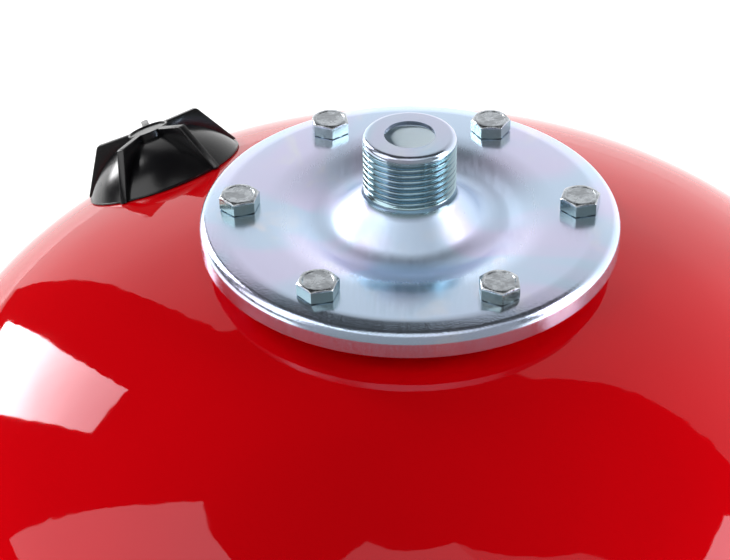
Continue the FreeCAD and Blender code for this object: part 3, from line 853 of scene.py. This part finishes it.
def apply_modifiers(piece):
    """Replaces a piece's mesh by the one that its modifiers make."""
    bpy.context.view_layer.update()
    depsgraph = bpy.context.evaluated_depsgraph_get()
    mesh = bpy.data.meshes.new_from_object(piece.evaluated_get(depsgraph))
    shape = bmesh.new()
    shape.from_mesh(mesh)
    finish_normals(shape)
    shape.to_mesh(mesh)
    shape.free()
    old = piece.data
    piece.modifiers.clear()
    piece.data = mesh
    bpy.data.meshes.remove(old)


def bolt_spots(z):
    """The places of the screws round the flange, at height z."""
    spots = []
    for k in range(BOLT_COUNT):
        angle = 2.0 * math.pi * k / BOLT_COUNT
        spots.append(Vector((BOLT_CIRCLE_R * math.cos(angle), BOLT_CIRCLE_R * math.sin(angle), z)))
    return spots


def screw_mesh(name, turn, place):
    """A hexagon screw: its head's top is a chamfer cone that meets the six flats in arcs."""
    segments = 6 * BOLT_SIDE_POINTS
    slope = math.tan(BOLT_CHAMFER)

    def hex_r(angle):
        local = angle % (60.0 * DEGREE) - 30.0 * DEGREE
        return BOLT_AF / 2.0 / math.cos(local)

    def row(radius_of, height_of):
        points = []
        for k in range(segments):
            angle = 2.0 * math.pi * k / segments
            r = radius_of(angle)
            points.append((r * math.cos(angle), r * math.sin(angle), height_of(r)))
        return points

    def chamfer(r):
        return BOLT_HEAD_H - max(0.0, r - BOLT_TOP_R) * slope

    flat_top = BOLT_HEAD_H - BOLT_DISH_H
    corner_r, corner_h = BOLT_CORNER
    points = [row(lambda a: BOLT_DISH_R * 0.5, lambda r: flat_top),
              row(lambda a: BOLT_DISH_R - BOLT_EDGE, lambda r: flat_top),
              row(lambda a: BOLT_DISH_R + BOLT_DISH_H, lambda r: BOLT_HEAD_H),
              row(lambda a: BOLT_TOP_R, lambda r: BOLT_HEAD_H),
              row(lambda a: (BOLT_TOP_R + hex_r(a)) / 2.0, chamfer),
              row(lambda a: hex_r(a) - corner_r, chamfer),
              row(hex_r, lambda r: chamfer(r) - corner_h),
              row(hex_r, lambda r: BOLT_FACE_H + BOLT_EDGE),
              row(lambda a: hex_r(a) - BOLT_EDGE, lambda r: BOLT_FACE_H)]
    for r, z in ((BOLT_TOP_R, BOLT_FACE_H), (BOLT_TOP_R, 0.0), (BOLT_R, 0.0),
                 (BOLT_R, -BOLT_LENGTH + BOLT_POINT), (BOLT_R - BOLT_POINT, -BOLT_LENGTH)):
        points.append(row(lambda a, r=r: r, lambda x, z=z: z))
    rows = [range(i * segments, (i + 1) * segments) for i in range(len(points))]
    faces = [tuple(rows[0])]
    for low, high in zip(rows, rows[1:]):
        faces += joined(low, high)
    faces.append(tuple(rows[-1]))
    mesh = smooth_mesh(name, [point for ring in points for point in ring], faces)
    mesh.transform(Matrix.Translation(place) @ Matrix.Rotation(turn, 4, "Z"))
    return mesh


def valve_matrix():
    """Local Z is the head's outward normal where the valve stands."""
    share = VALVE_OFFSET_R / TANK_R
    root = math.sqrt(1.0 - share ** 2)
    tilt = math.atan(HEAD_H * share / (TANK_R * root))
    place = Vector((VALVE_OFFSET_R, 0.0, UPPER_TANGENT_Z + HEAD_H * root))
    place.rotate(Matrix.Rotation(VALVE_ANGLE, 3, "Z"))
    turn = Matrix.Rotation(VALVE_ANGLE, 4, "Z") @ Matrix.Rotation(tilt, 4, "Y")
    return Matrix.Translation(place) @ turn @ Matrix.Rotation(-VALVE_ANGLE, 4, "Z")


def seat_height(x, y):
    """Height, along the valve's axis, of the head plus the cover's gap at a local place."""
    matrix = valve_matrix()
    centre = Vector((0.0, 0.0, UPPER_TANGENT_Z))
    radius, height = TANK_R + COVER_GAP, HEAD_H + COVER_GAP
    squash = Vector((1.0 / radius, 1.0 / radius, 1.0 / height))
    start = matrix @ Vector((x, y, 0.0)) - centre
    along = matrix.to_3x3() @ Vector((0.0, 0.0, 1.0))
    start = start * squash
    along = along * squash
    a = along.dot(along)
    b = start.dot(along)
    c = start.dot(start) - 1.0
    return (-b + math.sqrt(b * b - a * c)) / a


def ball_height(r, radius, top):
    """Height, at r from the valve's axis, of the ball cap that spans radius above the rim."""
    rise = top - COVER_LIP_Z
    ball_r = (radius ** 2 + rise ** 2) / (2.0 * rise)
    return top - ball_r + math.sqrt(ball_r ** 2 - r ** 2)


def cover_dome_mesh():
    """The hollow dome on its rim, trimmed to the head, and the hub on top."""
    dome_r = COVER_R - COVER_LIP
    inner_r = dome_r - COVER_T
    inner_h = COVER_DOME_H - COVER_T
    outside = [(COVER_R, ON_HEAD), (COVER_R, COVER_LIP_Z - COVER_EDGE),
               (COVER_R - COVER_EDGE, COVER_LIP_Z)]
    for k in range(DOME_ROWS + 1):
        r = dome_r + (HUB_R - dome_r) * k / DOME_ROWS
        outside.append((r, ball_height(r, dome_r, COVER_DOME_H)))
    hub = [(HUB_R, WING_TOP - COVER_EDGE), (HUB_R - COVER_EDGE, WING_TOP),
           (HUB_RECESS_R + COVER_EDGE, WING_TOP), (HUB_RECESS_R, WING_TOP - COVER_EDGE),
           (HUB_RECESS_R, WING_TOP - HUB_RECESS_H), (0.0, WING_TOP - HUB_RECESS_H)]
    tube_low = inner_h - SOCKET_LENGTH
    bore = STEM_R + SOCKET_PLAY
    inside = [(0.0, STEM_TOP + SOCKET_PLAY), (bore, STEM_TOP + SOCKET_PLAY), (bore, tube_low),
              (SOCKET_R, tube_low)]
    for k in range(DOME_INNER_ROWS + 1):
        r = SOCKET_R + (inner_r - SOCKET_R) * k / DOME_INNER_ROWS
        inside.append((r, ball_height(r, inner_r, inner_h)))
    inside.append((inner_r, ON_HEAD))
    mesh = turned_mesh("cover_dome", outside + hub + inside, COVER_SEGMENTS)
    for vertex in mesh.vertices:
        if vertex.co.z < ON_HEAD / 2.0:
            vertex.co.z = seat_height(vertex.co.x, vertex.co.y)
    return mesh


def wing_side(angle, y):
    """The outline of one side of a grip wing, from the hub out, down to the head and back in."""
    wall_r = COVER_R - COVER_LIP - COVER_T / 2.0
    wall_h = COVER_DOME_H - COVER_T / 2.0
    start_r = HUB_RECESS_R + WING_ROOT
    crest = bent_line([(start_r, WING_TOP), WING_CORNER, WING_TOE], [WING_CORNER_R], WING_ARC_STEP)
    points = [Vector((point.x, y, point.y)) for point in crest]
    for r in (WING_TOE[0], wall_r):
        x_place = r * math.cos(angle) - y * math.sin(angle)
        y_place = r * math.sin(angle) + y * math.cos(angle)
        points.append(Vector((r, y, seat_height(x_place, y_place))))
    for k in range(WING_ROWS + 1):
        r = wall_r + (start_r - wall_r) * k / WING_ROWS
        points.append(Vector((r, y, ball_height(r, wall_r, wall_h))))
    return points


def wing_shape(shape, angle, edge):
    """Adds one grip wing, with rounded edges, to a bmesh."""
    part = bmesh.new()
    sides = []
    for y in (-WING_T / 2.0, WING_T / 2.0):
        sides.append([part.verts.new(point) for point in wing_side(angle, y)])
    part.faces.new(sides[0])
    part.faces.new(sides[1][::-1])
    for k in range(len(sides[0])):
        after = (k + 1) % len(sides[0])
        part.faces.new((sides[0][after], sides[0][k], sides[1][k], sides[1][after]))
    bmesh.ops.recalc_face_normals(part, faces=part.faces)
    rims = [e for e in part.edges if e.calc_face_angle(0.0) > WING_SHARP]
    bmesh.ops.bevel(part, geom=rims, offset=edge, segments=3, affect="EDGES", profile=0.5,
                    clamp_overlap=True)
    bmesh.ops.rotate(part, verts=part.verts, matrix=Matrix.Rotation(angle, 3, "Z"))
    mesh = bpy.data.meshes.new("wing")
    part.to_mesh(mesh)
    part.free()
    shape.from_mesh(mesh)
    bpy.data.meshes.remove(mesh)


def cover_mesh(edge):
    """The whole valve cover: the dome and its wings, joined as one moulding."""
    dome = cover_dome_mesh()
    shape = bmesh.new()
    shape.from_mesh(dome)
    for k in range(WING_COUNT):
        wing_shape(shape, WING_FIRST + 2.0 * math.pi * k / WING_COUNT, edge)
    finish_normals(shape)
    mesh = bpy.data.meshes.new("valve_cover")
    shape.to_mesh(mesh)
    shape.free()
    bpy.data.meshes.remove(dome)
    mesh.transform(valve_matrix())
    return mesh


def spring_mesh():
    """The coil spring of the valve, at rest."""
    count = SPRING_COILS * SPRING_BENDS
    low, high = SPRING_LOW + SPRING_WIRE_R, SPRING_HIGH - SPRING_WIRE_R
    slope = math.atan2(high - low, 2.0 * math.pi * SPRING_COILS * SPRING_R)
    vertices = []
    rows = []
    for k in range(count + 1):
        angle = 2.0 * math.pi * k / SPRING_BENDS
        out = Vector((math.cos(angle), math.sin(angle), 0.0))
        level = Vector((-math.sin(angle), math.cos(angle), 0.0))
        up = Vector((0.0, 0.0, math.cos(slope))) - level * math.sin(slope)
        middle = out * SPRING_R + Vector((0.0, 0.0, low + (high - low) * k / count))
        rows.append(list(range(len(vertices), len(vertices) + SPRING_SIDES)))
        for i in range(SPRING_SIDES):
            side = 2.0 * math.pi * i / SPRING_SIDES
            vertices.append(middle + (out * math.cos(side) + up * math.sin(side)) * SPRING_WIRE_R)
    faces = [tuple(rows[0]), tuple(rows[-1])]
    for here, after in zip(rows, rows[1:]):
        faces += joined(here, after)
    mesh = smooth_mesh("coil_spring", vertices, faces)
    mesh.transform(valve_matrix())
    return mesh


def dress(node, material):
    """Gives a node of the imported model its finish."""
    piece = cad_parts[node]
    piece.data.materials.clear()
    piece.data.materials.append(material)


def finish_of(name):
    """The shared finish of that name, made when it is first asked for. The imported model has
    plain materials of the slots' names, so the finishes carry a name of their own."""
    own_name = "tank_" + name
    if own_name in bpy.data.materials:
        return bpy.data.materials[own_name]
    colours = bpy.context.scene.tank_finishes
    makers = {
        "red_paint": lambda: red_paint(tuple(colours.paint)),
        "zinc_plate": lambda: zinc_plate(tuple(colours.zinc)),
        "zinc_screw": lambda: zinc_screw(tuple(colours.screw)),
        "black_plastic": lambda: black_plastic(tuple(colours.plastic)),
        "brass": lambda: turned_brass(tuple(colours.brass)),
        "bladder_rubber": lambda: bladder_rubber(tuple(colours.rubber)),
        "spring_steel": spring_steel,
    }
    return makers[name]()


class TANK_OT_shell(bpy.types.Operator):
    """Build the painted shell halves and the weld between them"""
    bl_idname = "tank.shell"
    bl_label = "Shell"

    def execute(self, context):
        ripple = context.scene.tank_sizes.bead_ripple
        paint = finish_of("red_paint")
        for name, mesh, node in (("tank_upper", upper_shell_mesh(), "upper_shell"),
                                 ("tank_lower", lower_shell_mesh(), "lower_shell"),
                                 ("weld_bead", weld_mesh(ripple), "girth_weld")):
            piece = new_object(name, mesh, paint, "tank")
            if node == "upper_shell":
                cut_holes(piece, BUSH_R, BUSH_LOW, BUSH_HIGH, [valve_matrix()])
            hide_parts(node)
        return {"FINISHED"}


class TANK_OT_flange(bpy.types.Operator):
    """Build the plated connection flange with its threaded neck"""
    bl_idname = "tank.flange"
    bl_label = "Flange"

    def execute(self, context):
        sizes = context.scene.tank_sizes
        mesh = flange_mesh(sizes.thread_pitch, sizes.thread_depth)
        piece = new_object("flange", mesh, finish_of("zinc_plate"), "tank")
        low, high = FLANGE_Z - FLANGE_T - MM, FLANGE_Z + MM
        places = [Matrix.Translation(spot) for spot in bolt_spots(0.0)]
        cut_holes(piece, BOLT_HOLE_R, low, high, places)
        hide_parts("connection_flange")
        return {"FINISHED"}


class TANK_OT_screws(bpy.types.Operator):
    """Build the six hexagon screws of the flange"""
    bl_idname = "tank.screws"
    bl_label = "Screws"

    def execute(self, context):
        for k, (turn, place) in enumerate(zip(BOLT_TURNS, bolt_spots(FLANGE_Z))):
            name = "screw_" + str(k + 1)
            mesh = screw_mesh(name, turn * DEGREE, place)
            piece = new_object(name, mesh, finish_of("zinc_screw"), "tank")
            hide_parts("flange_bolts")
        return {"FINISHED"}


class TANK_OT_cover(bpy.types.Operator):
    """Build the black valve cover with its grip wings"""
    bl_idname = "tank.cover"
    bl_label = "Valve cover"

    def execute(self, context):
        mesh = cover_mesh(context.scene.tank_sizes.wing_edge)
        piece = new_object("grip_cover", mesh, finish_of("black_plastic"), "cover")
        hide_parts("valve_cover")
        return {"FINISHED"}


class TANK_OT_valve(bpy.types.Operator):
    """Finish the small parts of the air valve"""
    bl_idname = "tank.valve"
    bl_label = "Air valve"

    def execute(self, context):
        dress("valve_boss", finish_of("red_paint"))
        for node in ("valve_stem", "valve_core", "valve_pin"):
            dress(node, finish_of("brass"))
        for node in ("valve_gasket", "pin_seal"):
            dress(node, finish_of("bladder_rubber"))
        spring = new_object("coil_spring", spring_mesh(), finish_of("spring_steel"), "tank")
        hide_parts("valve_spring")
        along = valve_matrix().to_3x3() @ Vector((0.0, 0.0, 1.0))
        foot = valve_matrix() @ Vector((0.0, 0.0, SPRING_LOW))
        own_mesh(spring)
        return {"FINISHED"}


class TANK_OT_inside(bpy.types.Operator):
    """Finish the bladder and the welded ring under the flange"""
    bl_idname = "tank.inside"
    bl_label = "Bladder and ring"

    def execute(self, context):
        dress("membrane", finish_of("bladder_rubber"))
        dress("neck_ring", finish_of("red_paint"))
        return {"FINISHED"}


class TANK_OT_legs(bpy.types.Operator):
    """Finish the three welded legs"""
    bl_idname = "tank.legs"
    bl_label = "Legs"

    def execute(self, context):
        for k in range(LEG_COUNT):
            node = "leg_" + str(k + 1)
            dress(node, finish_of("red_paint"))
            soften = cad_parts[node].modifiers.new("edges", "BEVEL")
            soften.width = LEG_EDGE
            soften.segments = 2
            soften.limit_method = "ANGLE"
        return {"FINISHED"}


def glow(name, strength, fades=None):
    """A finish that only gives light. fades are (share of the reach, brightness) pairs."""
    finish = Finish(name, Base_Color=BLACK, Specular_IOR_Level=0.0, Emission_Color=WHITE,
                    Emission_Strength=strength)
    if fades:
        stops = [(share, (light, light, light, 1.0)) for share, light in fades]
        factor = finish.height() * (1.0 / SHEET_REACH)
        lit = finish.node("ShaderNodeValToRGB", {"stops": stops}, {"Fac": factor})
        finish.feed("Emission Color", lit)
    return finish.material


def level_at(edge, azimuth):
    """The elevation of a sheet's edge, given as (azimuth, elevation) pairs, at an azimuth."""
    for (first, low), (second, high) in zip(edge, edge[1:]):
        if azimuth <= second:
            return low + (high - low) * max(azimuth - first, 0.0) / (second - first)
    return edge[-1][1]


def light_sheet(name, strength, fades=None, reach=SHEET_REACH):
    """A curved sheet round the flange that gives light and isn't seen by the camera."""
    lower, upper = SHEET_EDGES[name]
    first, last = lower[0][0], lower[-1][0]
    vertices = []
    faces = []
    for i in range(SHEET_BENDS + 1):
        azimuth = first + (last - first) * i / SHEET_BENDS
        low, high = level_at(lower, azimuth), level_at(upper, azimuth)
        for j in range(SHEET_ROWS + 1):
            vertices.append(from_flange(azimuth, low + (high - low) * j / SHEET_ROWS, reach))
    for i in range(SHEET_BENDS):
        for j in range(SHEET_ROWS):
            a = i * (SHEET_ROWS + 1) + j
            faces.append((a, a + SHEET_ROWS + 1, a + SHEET_ROWS + 2, a + 1))
    mesh = bpy.data.meshes.new(name)
    mesh.from_pydata(vertices, [], faces)
    mesh.materials.append(glow(name, strength, fades))
    sheet = linked(name, mesh)
    sheet.visible_camera = False
    return sheet


def floor_material():
    """Pale floor: white to the camera and in reflections, with the object's shadow kept."""
    finish = Finish("floor", Base_Color=FLOOR_GREY, Roughness=0.9, Specular_IOR_Level=0.1)
    # A ray is from the camera or glossy, never both, so the sum is 0 or 1
    seen = (finish.node("ShaderNodeLightPath", output="Is Camera Ray") +
            finish.node("ShaderNodeLightPath", output="Is Glossy Ray"))
    plain = Value(finish, finish.shader.outputs[0])
    lamp = finish.node("ShaderNodeEmission", None, {"Strength": FLOOR_GLOW})
    both = finish.node("ShaderNodeAddShader", None, {0: plain, 1: lamp})
    surface = finish.node("ShaderNodeMixShader", None, {0: seen, 1: plain, 2: both})
    out = finish.tree.nodes["Material Output"]
    finish.tree.links.new(surface.socket, out.inputs["Surface"])
    return finish.material


def make_floor():
    """A level square under the legs."""
    half = FLOOR_SIZE / 2.0
    mesh = bpy.data.meshes.new("floor")
    corners = [(-half, -half, 0), (half, -half, 0), (half, half, 0), (-half, half, 0)]
    mesh.from_pydata(corners, [], [(0, 1, 2, 3)])
    mesh.materials.append(floor_material())
    return linked("floor", mesh)


def aim_lamp(light, place, target):
    """Puts a lamp at a place and aims it. Neither the camera nor a reflection shows it."""
    lamp = linked(light.name, light)
    aim = (Vector(target) - Vector(place)).to_track_quat("-Z", "Y")
    lamp.matrix_world = Matrix.Translation(place) @ aim.to_matrix().to_4x4()
    lamp.visible_camera = False
    lamp.visible_glossy = False


def fill_lamp(name, place, power):
    """A square soft lamp that faces the flange."""
    light = bpy.data.lights.new(name, "AREA")
    light.shape = "RECTANGLE"
    light.size = FILL_SIZE
    light.size_y = FILL_SIZE
    light.energy = power
    aim_lamp(light, place, (0.0, 0.0, FLANGE_Z))


def neck_lamp(power):
    """A narrow lamp into the water hole."""
    light = bpy.data.lights.new("neck_lamp", "SPOT")
    light.energy = power
    light.spot_size = NECK_LAMP_CONE
    light.spot_blend = NECK_LAMP_SOFT_EDGE
    light.shadow_soft_size = NECK_LAMP_SIZE
    aim_lamp(light, from_flange(*NECK_LAMP), (0.0, 0.0, FLANGE_HIGH.z))


def from_flange(azimuth, elevation, distance):
    """A place seen from the flange; azimuth 0 is +Y and 90 is +X."""
    a, e = azimuth * DEGREE, elevation * DEGREE
    level = distance * math.cos(e)
    return Vector((level * math.sin(a), level * math.cos(a), FLANGE_Z + distance * math.sin(e)))


def make_camera(lens):
    """The camera where the photograph was taken from."""
    level = math.cos(CAMERA_PITCH)
    ahead = Vector((math.sin(CAMERA_YAW) * level, math.cos(CAMERA_YAW) * level,
                    -math.sin(CAMERA_PITCH)))
    right = Vector((math.cos(CAMERA_YAW), -math.sin(CAMERA_YAW), 0.0))
    down = ahead.cross(right)
    cosine, sine = math.cos(CAMERA_ROLL), math.sin(CAMERA_ROLL)
    turned_right = right * cosine - down * sine
    turned_down = right * sine + down * cosine
    turn = Matrix((turned_right, -turned_down, -ahead)).transposed()
    place = CAMERA_PLACE + Vector((0.0, 0.0, FLANGE_Z))
    camera = linked("camera", bpy.data.cameras.new("camera"))
    camera.matrix_world = Matrix.Translation(place) @ turn.to_4x4()
    camera.data.lens = lens
    camera.data.sensor_width = FILM_WIDTH
    camera.data.clip_start = NEAREST
    camera.data.clip_end = FARTHEST
    bpy.context.scene.camera = camera


def make_world():
    """White to the camera, faint to everything else."""
    world = bpy.data.worlds.new("studio")
    bpy.context.scene.world = world
    world.use_nodes = True
    world.node_tree.nodes.clear()
    nodes = Nodes(world.node_tree)
    seen = nodes.node("ShaderNodeLightPath", output="Is Camera Ray")
    dim = nodes.node("ShaderNodeBackground", None, {"Strength": WORLD_GLOW})
    white = nodes.node("ShaderNodeBackground", None, {"Color": WHITE, "Strength": 1.0})
    surface = nodes.node("ShaderNodeMixShader", None, {0: seen, 1: dim, 2: white})
    out = nodes.tree.nodes.new("ShaderNodeOutputWorld")
    nodes.tree.links.new(surface.socket, out.inputs["Surface"])


class TANK_OT_stage(bpy.types.Operator):
    """Set up the floor, the lamps, the white sheet and the camera"""
    bl_idname = "tank.stage"
    bl_label = "Stage"

    def execute(self, context):
        studio = context.scene.tank_studio
        context.scene.view_settings.view_transform = "Standard"
        make_world()
        make_floor()
        light_sheet("backdrop", studio.backdrop, BACKDROP_FADES)
        light_sheet("softbox", studio.softbox, SOFTBOX_FADES)
        light_sheet("left_sheet", studio.left)
        light_sheet("right_sheet", studio.right)
        light_sheet("right_front_sheet", studio.front * RIGHT_FRONT_SHARE)
        light_sheet("front_sheet", studio.front)
        flag = light_sheet("front_flag", studio.front * FLAG_SHARE, reach=FLAG_REACH)
        flag.visible_diffuse = False
        flag.visible_shadow = False
        fill_lamp("left_fill", from_flange(*LEFT_FILL), studio.left_fill)
        fill_lamp("right_fill", from_flange(*RIGHT_FILL), studio.right_fill)
        neck_lamp(studio.neck)
        make_camera(studio.lens)
        return {"FINISHED"}


class TANK_PT_builder(bpy.types.Panel):
    """Lists the tank's pieces, sizes and finishes"""
    bl_label = "Expansion tank"
    bl_idname = "TANK_PT_builder"
    bl_space_type = "VIEW_3D"
    bl_region_type = "UI"
    bl_category = "Tank"

    def draw(self, context):
        layout = self.layout
        for group in ("tank_sizes", "tank_finishes", "tank_studio"):
            settings = getattr(context.scene, group)
            column = layout.column(align=True)
            for name in settings.__annotations__:
                column.prop(settings, name)
        for operator in BUILDERS:
            layout.operator(operator.bl_idname)


BUILDERS = (TANK_OT_shell, TANK_OT_flange, TANK_OT_screws, TANK_OT_cover, TANK_OT_valve,
            TANK_OT_inside, TANK_OT_legs, TANK_OT_stage)
CLASSES = (TankSizes, TankFinishes, TankStudio, *BUILDERS, TANK_PT_builder)


def register():
    for cls in CLASSES:
        bpy.utils.register_class(cls)
    bpy.types.Scene.tank_sizes = bpy.props.PointerProperty(type=TankSizes)
    bpy.types.Scene.tank_finishes = bpy.props.PointerProperty(type=TankFinishes)
    bpy.types.Scene.tank_studio = bpy.props.PointerProperty(type=TankStudio)


def unregister():
    del bpy.types.Scene.tank_studio
    del bpy.types.Scene.tank_finishes
    del bpy.types.Scene.tank_sizes
    for cls in reversed(CLASSES):
        bpy.utils.unregister_class(cls)


def main():
    register()
    for builder in BUILDERS:
        group, name = builder.bl_idname.split(".")
        getattr(getattr(bpy.ops, group), name)()


if __name__ == "__main__":
    main()
